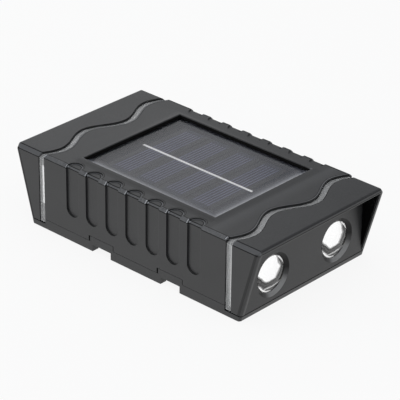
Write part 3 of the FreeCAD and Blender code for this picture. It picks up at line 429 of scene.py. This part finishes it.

# all the painted shade lines, then all the painted highlights
painted_shade = (bevel_shade_lines | on_roof & lip.between(*lip_shadow) | near_heads & round_head.between(*head_shade)
        | near_heads & round_head.between(*head_outer_shade) | far_heads & facing.between(*far_head_shade))
painted_highlight = on_roof & lip.between(*lip_highlight) | near_heads & round_head.between(*head_highlight)
# each mask scales the colour and the sheen: scales below 1 are painted shade, scales above 1
# painted light
for mask, scale, gloss_scale in (
    (painted_shade, 0.2, 0.1),
    (grip_wall_highlight, 2.0, 1.0),
    (painted_highlight, 8.0, 1.0),
    (edge, 4.6, 1.1),
    (near_flank_shade, 0.8, 0.82),
    (shoulder_light, 2.3, 1.0),
    (window_lip_highlight, 7.0, 1.0),
    (highlight_ticks, 6.0, 1.0),
):
    toned(cover_plastic, mask, scale, gloss_scale)
pitted(cover_plastic, edge, grain=900.0, height=22.0)


# the hoods, with painted light and shade in their colour: the bevelled edge painted lighter
# between painted dark lines, a painted highlight on the rim between painted dark lines, painted
# shade just behind the rim at the sides, darker painted shade in the throat, a painted shadow line
# along the slot's edge, and lens seats painted near black with painted light at the lower right
# and less sheen
def mixed(share, first, second):
    """The first colour where the share is 0, and the second where it is 1."""
    made = share.tree.nodes.new("ShaderNodeMix")
    made.data_type = "RGBA"
    share.into(made.inputs[0])
    for entry, colour in ((made.inputs[6], first), (made.inputs[7], second)):
        if isinstance(colour, Field):
            colour.into(entry)
        else:
            entry.default_value = (*colour, 1)
    return Field(made.outputs[2])


hood_plastic = plastic("hood_plastic")
x, y, z, out, side, turned = shell_places(hood_plastic)
hood = extent("hood_right")[1]
bevel_side, bevel_low, line = hood.y - 0.0017, hood.z - 0.0017, 0.0003
roof_low, roof_side = hood.z - 0.0002, bevel_side - 0.0005
on_roof = z > roof_low
# the bevel: painted lighter below as painted light, and pitted
edge = (side > bevel_side) & (z > bevel_low)
# painted dark lines along both sides of the bevel
hood_bevel_shade_lines = (on_roof & side.between(bevel_side - line, bevel_side)
         | (side > hood.y - line) & z.between(bevel_low - line, bevel_low))

# the rim: a painted highlight between painted dark lines, painted shade just behind it at the
# sides, and darker painted shade in the throat
rim_foot, rim_slope, rim_width, rim_back, rim_side_shade_back = 0.0617, 0.2786, 0.0006, -0.0009, -0.0022
rim_low, rim_high, rim_shade_band = hood.z - 0.0013, hood.z - 0.0005, (0.0341, 0.03455)
rim_side_shade_side, throat_band, throat_start = 0.0379, (0.0369, 0.0382), 0.0610
rim = out - (z * rim_slope + rim_foot)
on_rim = rim > -rim_width
rim_highlight = on_rim & z.between(rim_low, rim_high)
rim_shade_line = (rim > -2 * rim_width) & z.between(*rim_shade_band) & (side < roof_side)
rim_side_shade = rim.between(rim_side_shade_back, rim_back) & (side > rim_side_shade_side) & (z < bevel_low + line)
throat_shade = (side.between(*throat_band) & (out > throat_start)
          & (rim < rim_back) & (z < bevel_low - rim_width))

hood_edge = 0.0568
lip = from_wave(out, turned, hood_edge)
# all the painted shade lines, one of them a painted shadow along the slot's edge
painted_shade = hood_bevel_shade_lines | on_rim & (z > rim_high) | rim_shade_line | on_roof & lip.between(0.0, line)
# scales below 1 are painted shade, scales above 1 painted light
for mask, scale, gloss_scale in (
    (painted_shade, 0.15, 0.08),
    (rim_highlight, 1.8, 1.0),
    (rim_side_shade, 0.5, 0.6),
    (edge, 4.2, 1.1),
    (throat_shade, 0.12, 0.12),
):
    toned(hood_plastic, mask, scale, gloss_scale)
pitted(hood_plastic, edge, grain=500.0, height=3.0)

low, high = extent("lens_right_far")
lens_y, lens_z = (low.y + high.y) / 2, (low.z + high.z) / 2
# the lens seats: painted near black, with painted light towards the lower right, and less sheen
seat_ring, seat_depth = (0.0070, 0.01005), (0.0590, 0.06238)
light_right, light_up, seat_gloss = 0.4, -0.92, 0.4
right = (side - lens_y) * (x.step("SIGN") * y.step("SIGN"))
up = z - lens_z
radius = reach(right, up)
seat = radius.between(*seat_ring) & out.between(*seat_depth)
toward_light = (right * light_right + up * light_up) / radius
seat_shade = ramp(toward_light.along(-1.0, 1.0), (
    (0.05, 0.0030), (0.70, 0.0040), (0.84, 0.07), (0.93, 0.26), (1.0, 0.30),
))
shader = hood_plastic.node_tree.nodes["Principled BSDF"]
colour, gloss = shader.inputs["Base Color"], shader.inputs["Specular IOR Level"]
mixed(seat, feeding(colour), seat_shade).into(colour)
(feeding(gloss) * (seat * (seat_gloss - 1.0) + 1.0)).into(gloss)

shell = plastic("shell_plastic")
for node, material, width in (
    ("main_cover", cover_plastic, 0.00014),
    ("hood_right", hood_plastic, 0.00016),
    ("hood_left", hood_plastic, 0.00016),
    ("rear_housing", shell, 0.00022),
    ("wall_plate", shell, 0.0003),
):
    piece = eased(added(f"{node}_shell", merged(node), material), width)
    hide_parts(node)

# ------------------------------------------------------------------------------------------
# Light strips: wavy bands of clear acrylic, moulded in one piece over the top and both sides.
# They lie in the gap between the cover and each hood and snap over the neck below.
# ------------------------------------------------------------------------------------------
acrylic, shader = surface(
    "strip_acrylic", (0.86, 0.87, 0.87), 0.12, Transmission_Weight=0.8, IOR=1.49
)
flow = noise(acrylic, grain=500.0, detail=3.0, stretch=(1.0, 1.0, 0.15))
flow_tint = ramp(flow, ((0.3, (0.80, 0.81, 0.81)), (0.7, (0.92, 0.92, 0.92))))
flow_tint.into(shader.inputs["Base Color"])
bumped(shader, flow, depth=0.00003, strength=0.12)
for end in ("right", "left"):
    node = f"light_strip_{end}"
    piece = eased(added(f"{node}_band", merged(node), acrylic), width=0.00022)
    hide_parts(node)


# ------------------------------------------------------------------------------------------
# Foils: thin metal sheets glued behind the strips' clear sides, whose colours are painted light
# seen through the clear plastic. At two sides a white foil glows over the side lights' windows as
# a painted glow, with dark foils above and below as painted shade and a mid grey one beside it; at
# the other two a mid grey half lies beside a white half, a painted highlight.
# ------------------------------------------------------------------------------------------
def slab(bm, low, high):
    """Adds a box between two corners to a mesh, in metres."""
    for vertex in bmesh.ops.create_cube(bm, size=1.0)["verts"]:
        for axis in range(3):
            vertex.co[axis] = high[axis] if vertex.co[axis] > 0 else low[axis]


# lit and shaded copies of one foil: painted highlight, painted glow, painted half light and
# painted shade
lit_foil = grained("foil_painted_light", (1.0, 1.0, 0.99), (1.0, 1.0, 1.0), 0.24,
                   grain=700.0, depth=0.00001, Metallic=1.0)
glowing_foil = grained("foil_painted_glow", (0.97, 0.97, 0.96), (1.0, 1.0, 1.0), 0.24,
                 grain=700.0, depth=0.00001, Metallic=1.0, Emission_Strength=0.46)
half_lit_foil = grained("foil_painted_half_light", (0.42, 0.43, 0.43), (0.60, 0.61, 0.61), 0.38,
                grain=500.0, depth=0.00003, stretch=(1.0, 1.0, 0.2), Metallic=1.0)
shaded_foil = grained("foil_painted_shade", (0.16, 0.165, 0.165), (0.24, 0.245, 0.245), 0.45,
              grain=500.0, depth=0.00003, stretch=(1.0, 1.0, 0.2), Metallic=1.0)
foil_in, foil_split, foil_out, foil_foot, foil_head = 0.0536, 0.0549, 0.0568, 0.0042, 0.0335
window_in, window_out, window_foot, window_head = 0.0530, 0.0558, 0.0115, 0.0300
foil_back, foil_face, split_gap, window_gap = 0.03767, 0.03773, 0.0001, 0.0003
for name, sign_x, sign_y, full_height in (
    ("right_near", 1, -1, True),
    ("right_far", 1, 1, False),
    ("left_near", -1, -1, False),
    ("left_far", -1, 1, True),
):
    parts = (
        (foil_in, foil_split, foil_foot, foil_head, half_lit_foil),
        (foil_split + split_gap, foil_out, foil_foot, foil_head, lit_foil),
    ) if full_height else (
        (foil_in, foil_out, foil_foot, window_foot - window_gap, shaded_foil),
        (window_in, window_out, window_foot, window_head, glowing_foil),
        (window_out + split_gap, foil_out, window_foot, foil_head, half_lit_foil),
        (foil_in, window_out, window_head + window_gap, foil_head, shaded_foil),
    )
    y_ends = sorted((sign_y * foil_back, sign_y * foil_face))
    for index, (inner, outer, foot, head, material) in enumerate(parts):
        x_ends = sorted((sign_x * inner, sign_x * outer))
        bm = bmesh.new()
        slab(bm, (x_ends[0], y_ends[0], foot), (x_ends[1], y_ends[1], head))
        eased(added(f"foil_{name}_{index}", bm, material), width=0.00002)


# ------------------------------------------------------------------------------------------
# Lenses: clear moulded plugs with a low dome, set in the countersunk holes. Under each dome
# lies a silvered disc with a painted reflection: one broad bright patch and darker painted bands
# below and to the right, painted glints near its rim and a faint painted glow.
# ------------------------------------------------------------------------------------------
def dressed(node, material):
    """Gives a node of the solid model a finished material."""
    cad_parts[node].data.materials.clear()
    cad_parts[node].data.materials.append(material)


lens, shader = surface(
    "lens_clear", (0.98, 0.98, 0.98), 0.01, Transmission_Weight=1.0, IOR=1.49
)
bumped(shader, noise(lens, grain=200.0, detail=1.0), depth=0.00002, strength=0.2)
bowl = grained("bowl_chrome", (0.93, 0.93, 0.93), (0.97, 0.97, 0.97), 0.1,
               grain=400.0, depth=0.00001, Metallic=1.0)

painted_optic, shader = surface("optic_painted_reflection", (0.95, 0.95, 0.95), 0.22, Metallic=1.0)
x, y, z = coordinates(painted_optic)
along_mm = (y - y.step("SIGN") * lens_y) * x.step("SIGN") * 1000.0
high_mm = (z - lens_z) * 1000.0
ripple_height = 1.2
ripple = noise(painted_optic, grain=330.0, detail=1.0) * ripple_height - ripple_height / 2


def band_side(across, upward, distance):
    """How many millimetres a place lies beyond a straight line that faces a direction and lies
    at a distance from the lens's middle."""
    return high_mm * upward + (along_mm * across - distance)


# the painted reflection: a bright patch inside four straight lines, darker painted bands beyond
# them
beyond = (band_side(-0.685, -0.729, 3.95) | band_side(0.05, -0.999, 2.23)
          | band_side(0.41, -0.287, 1.38) | band_side(0.485, 0.121, 2.5)) + ripple
painted_reflection_bands = ramp(beyond.along(-2.0, 8.0), (
    (0.185, 1.0), (0.200, 0.50), (0.245, 0.22), (0.265, 0.01), (0.31, 0.005), (0.35, 0.09),
    (0.42, 0.01), (0.50, 0.08), (0.555, 0.70), (0.60, 0.10), (0.66, 0.02), (0.74, 0.16),
    (0.80, 0.01),
))
# painted glints: white arcs near the rim
glint_middle, glint_half, glint_white = 7.75, 0.3, (0.95, 0.95, 0.95)
at_rim = reach(along_mm, high_mm).step("COMPARE", glint_middle, glint_half)
glints = (band_side(0.788, 0.616, 7.35) > 0.0) | (band_side(-0.5, -0.866, 6.7) > 0.0)
painted_lens_light = mixed(glints & at_rim, painted_reflection_bands, glint_white)
painted_lens_light.into(shader.inputs["Base Color"])
painted_lens_light.into(shader.inputs["Emission Color"])
# a faint painted glow
shader.inputs["Emission Strength"].default_value = 0.12
bumped(shader, noise(painted_optic, grain=500.0), depth=0.00003, strength=0.4)

optic_radius, optic_top, optic_curve, rings, spokes = 0.00815, 0.0617, 0.0387, 10, 64
for end, sign in (("right", 1), ("left", -1)):
    for side, side_sign in (("near", -1), ("far", 1)):
        dressed(f"lens_{end}_{side}", lens)
        dressed(f"reflector_{end}_{side}", bowl)
        bm = bmesh.new()
        middle = bm.verts.new((sign * optic_top, side_sign * lens_y, lens_z))
        last = None
        for ring in range(1, rings + 1):
            radius = optic_radius * ring / rings
            place = optic_top - radius**2 / (2 * optic_curve)
            circle = []
            for spoke in range(spokes):
                angle = 2 * math.pi * spoke / spokes
                circle.append(bm.verts.new((
                    sign * place,
                    side_sign * lens_y + radius * math.cos(angle),
                    lens_z + radius * math.sin(angle),
                )))
            for spoke in range(spokes):
                after = (spoke + 1) % spokes
                if last:
                    bm.faces.new((last[spoke], circle[spoke], circle[after], last[after]))
                else:
                    bm.faces.new((middle, circle[spoke], circle[after]))
            last = circle
        bmesh.ops.recalc_face_normals(bm, faces=bm.faces)
        added(f"optic_{end}_{side}", bm, painted_optic)

# ------------------------------------------------------------------------------------------
# Solar panel: four dark cells with fine silver fingers and one broad ribbon, cast in clear
# resin on a board. The resin creeps up the window's walls, more at the near and right ones.
# ------------------------------------------------------------------------------------------
resin, shader = surface(
    "panel_resin", (0.97, 0.97, 0.98), 0.17, Transmission_Weight=1.0, IOR=1.5
)
wavy = noise(resin, grain=90.0)
ramp(wavy, ((0.3, 0.16), (0.7, 0.19))).into(shader.inputs["Roughness"])
bumped(shader, wavy, depth=0.00003, strength=0.12)

face = extent("panel_glaze")[1]
board_top = extent("solar_backing")[1].z
climb_width, climb_height, low_share, board_sink = 0.0060, 0.00064, 0.3, 0.00003
curve_lines, curve_ease = 12, 1.5


def climb(x, y):
    """How far the resin's face has crept up at a place, beside the walls of the window."""
    high = max(0.0, 1 - max(0.0, min(open_x - x, open_y + y)) / climb_width) ** 2
    low = max(0.0, 1 - max(0.0, min(open_x + x, open_y - y)) / climb_width) ** 2
    return climb_height * max(high, low_share * low)


def stations(edge, opening):
    """Grid lines across the panel, close together where the resin curves."""
    shares = [1 - (1 - step / curve_lines) ** curve_ease for step in range(curve_lines + 1)]
    curve = [opening - climb_width * share for share in shares]
    half = sorted({0.0, edge, *curve})
    return [-place for place in reversed(half[1:])] + half


bm = bmesh.new()
lines_x, lines_y = stations(face.x, open_x), stations(face.y, open_y)
top = [[bm.verts.new((x, y, face.z + climb(x, y))) for x in lines_x] for y in lines_y]
foot = [[bm.verts.new((x, y, board_top - board_sink)) for x in lines_x] for y in lines_y]
for row in range(len(lines_y) - 1):
    for column in range(len(lines_x) - 1):
        for grid in (top, foot):
            bm.faces.new((grid[row][column], grid[row][column + 1],
                          grid[row + 1][column + 1], grid[row + 1][column]))
outline = [(0, column) for column in range(len(lines_x))]
outline += [(row, len(lines_x) - 1) for row in range(1, len(lines_y))]
outline += [(len(lines_y) - 1, column) for column in reversed(range(len(lines_x) - 1))]
outline += [(row, 0) for row in reversed(range(1, len(lines_y) - 1))]
for (row, column), (next_row, next_column) in zip(outline, outline[1:] + outline[:1]):
    bm.faces.new((top[row][column], top[next_row][next_column],
                  foot[next_row][next_column], foot[row][column]))
bmesh.ops.recalc_face_normals(bm, faces=bm.faces)
piece = added("panel_face", bm, resin)
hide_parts("panel_glaze")

# cells: dark blue silicon, bluer under each group of fingers. Whole cells are added to a place
# before its fraction is taken, so that it counts upwards on both sides of the middle
cell_count, cell_pitch, whole_cells = 4, 0.0153, 20.0
cell, shader = surface("silicon", (0.02, 0.021, 0.03), 0.5)
share = (coordinates(cell)[0] / cell_pitch + whole_cells).step("FRACT")
tint = ramp(abs(share - 0.5), ((0.24, (0.078, 0.084, 0.118)), (0.36, (0.084, 0.087, 0.102))))
crystal = ramp(noise(cell, grain=260.0, detail=3.0), ((0.3, 0.92), (0.7, 1.06)))
tint.colour_step("MULTIPLY", crystal).into(shader.inputs["Base Color"])
dressed("solar_cells", cell)

# fingers: fine printed silver lines, six in a group, one group on each cell
finger = grained("finger_silver", (0.22, 0.23, 0.36), (0.28, 0.29, 0.44), 0.5,
                 grain=900.0, depth=0.000002)
finger_count, finger_pitch, half_line, half_length, line_rise = 6, 0.0016, 0.00015, 0.0224, 0.00001
cell_top = extent("solar_cells")[1].z
bm = bmesh.new()
for cell_index in range(cell_count):
    for line in range(finger_count):
        x = (cell_pitch * (cell_index - (cell_count - 1) / 2)
             + finger_pitch * (line - (finger_count - 1) / 2))
        slab(bm, (x - half_line, -half_length, cell_top),
             (x + half_line, half_length, cell_top + line_rise))
added("cell_fingers", bm, finger)

# ribbon, seal and board: a soldered silver ribbon with a faint painted glow, black rubber whose
# near-black colour in the window's walls is also painted shade, and a dark laminate with painted
# light towards the near and right walls and painted shade towards the left
# the ribbon's faint glow is a painted glow
glowing_silver = grained("ribbon_silver_painted_glow", (0.90, 0.90, 0.91), (1.0, 1.0, 1.0), 0.42, grain=1200.0,
                 stretch=(0.3, 1.0, 1.0), Metallic=0.6, Emission_Strength=0.13)
dressed("cell_ribbon", glowing_silver)
# black rubber; on the window's inner walls the seal's near-black, dull colour is also painted
# shade
rubber = grained("seal_rubber", (0.003, 0.003, 0.003), (0.005, 0.005, 0.005), 0.8,
                 grain=900.0, Specular_IOR_Level=0.12)
dressed("panel_seal", rubber)
dressed("housing_gasket", rubber)
laminate = grained("backing_laminate", (0.060, 0.065, 0.082), (0.068, 0.073, 0.092), 0.6,
                   grain=700.0, depth=0.000002)
x, y = coordinates(laminate)[:2]
inward = (x * -1.0 + open_x).step("MINIMUM", y + open_y)
glow_width, shade_start, shade_end = 0.008, -0.04, 0.06
# painted light: the laminate paler towards the near and right walls
glow = ramp(inward.along(0.0, glow_width), (
    (0.0, (0.66, 0.68, 0.72)), (0.17, (0.62, 0.64, 0.68)), (0.30, (0.26, 0.27, 0.30)),
    (0.5, (0.06, 0.062, 0.072)), (0.85, 0.0),
))
# painted shade: the laminate darker towards the left
left_shade = ramp(x.along(shade_start, shade_end), ((0.02, 0.35), (0.1, 0.75), (0.3, 0.95)))
colour = laminate.node_tree.nodes["Principled BSDF"].inputs["Base Color"]
feeding(colour).colour_step("MULTIPLY", left_shade).colour_step("ADD", glow).into(colour)
dressed("solar_backing", laminate)

# ------------------------------------------------------------------------------------------
# Power: an AA-sized rechargeable cell with a printed sleeve in a black holder, between a coiled
# steel spring on a nickel plate and a nickel contact plate.
# ------------------------------------------------------------------------------------------
sleeve, shader = surface("cell_sleeve_film", (0.05, 0.20, 0.12), 0.28)
sleeve_half = 1 / 36
bands = ramp(coordinates(sleeve)[0].along(-sleeve_half, sleeve_half), (
    (0.08, (0.55, 0.56, 0.57)), (0.12, (0.03, 0.22, 0.12)), (0.80, (0.04, 0.25, 0.14)),
    (0.84, (0.85, 0.86, 0.84)), (0.93, (0.80, 0.81, 0.80)), (0.97, (0.55, 0.56, 0.57)),
))
bands.into(shader.inputs["Base Color"])
creases = noise(sleeve, grain=260.0, detail=3.0, stretch=(1.0, 0.3, 0.3))
bumped(shader, creases, depth=0.00004, strength=0.4)
dressed("battery_cell", sleeve)
black = grained("component_black", (0.012, 0.012, 0.012), (0.02, 0.02, 0.02), 0.5, grain=1400.0)
for node in ("battery_holder", "switch_body"):
    dressed(node, black)
steel = grained("zinc_steel", (0.50, 0.51, 0.53), (0.66, 0.67, 0.68), 0.3,
                grain=900.0, depth=0.00001, Metallic=1.0)
for node in ("case_screws", "contact_spring"):
    dressed(node, steel)
nickel = grained("nickel_sheet", (0.62, 0.60, 0.56), (0.74, 0.72, 0.67), 0.26,
                 grain=500.0, depth=0.00001, stretch=(0.2, 1.0, 1.0), Metallic=1.0)
for node in ("contact_plate", "spring_plate"):
    dressed(node, nickel)

# ------------------------------------------------------------------------------------------
# Electronics: a green solder-masked control board with black parts, white boards that carry
# the light-emitting chips under yellow phosphor, and red-sleeved wires between them.
# ------------------------------------------------------------------------------------------
mask_green, shader = surface("board_green", (0.01, 0.09, 0.035), 0.35)
weave = noise(mask_green, grain=600.0)
weave_tint = ramp(weave, ((0.35, (0.008, 0.075, 0.03)), (0.65, (0.014, 0.11, 0.045))))
weave_tint.into(shader.inputs["Base Color"])
bumped(shader, weave, depth=0.00002, strength=0.4)
dressed("control_board", mask_green)
package = grained("package_black", (0.016, 0.016, 0.017), (0.03, 0.03, 0.031), 0.45, grain=900.0)
dressed("board_components", package)
white = grained("board_white", (0.70, 0.71, 0.70), (0.78, 0.79, 0.78), 0.45, grain=700.0)
phosphor = grained("led_phosphor", (0.72, 0.62, 0.22), (0.82, 0.74, 0.32), 0.4, grain=500.0)
for end in ("right", "left"):
    dressed(f"led_board_{end}", white)
    dressed(f"led_chips_{end}", phosphor)
    dressed(f"side_light_leds_{end}", phosphor)
    for side in ("near", "far"):
        dressed(f"side_light_board_{end}_{side}", white)
sleeved = grained("wire_sleeve", (0.32, 0.012, 0.010), (0.42, 0.02, 0.016), 0.38, grain=600.0)
for node in ("panel_leads", "led_leads_right", "led_leads_left", "battery_leads"):
    dressed(node, sleeved)

# ------------------------------------------------------------------------------------------
# Switch: the knob of the slide switch on the back, moulded in grey plastic with a ridged grip.
# ------------------------------------------------------------------------------------------
knob = grained("knob_plastic", (0.10, 0.10, 0.105), (0.14, 0.14, 0.145), 0.45, grain=1300.0)
dressed("switch_knob", knob)

size = {"cad": cad_box, "visual": [list(corner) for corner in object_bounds()]}
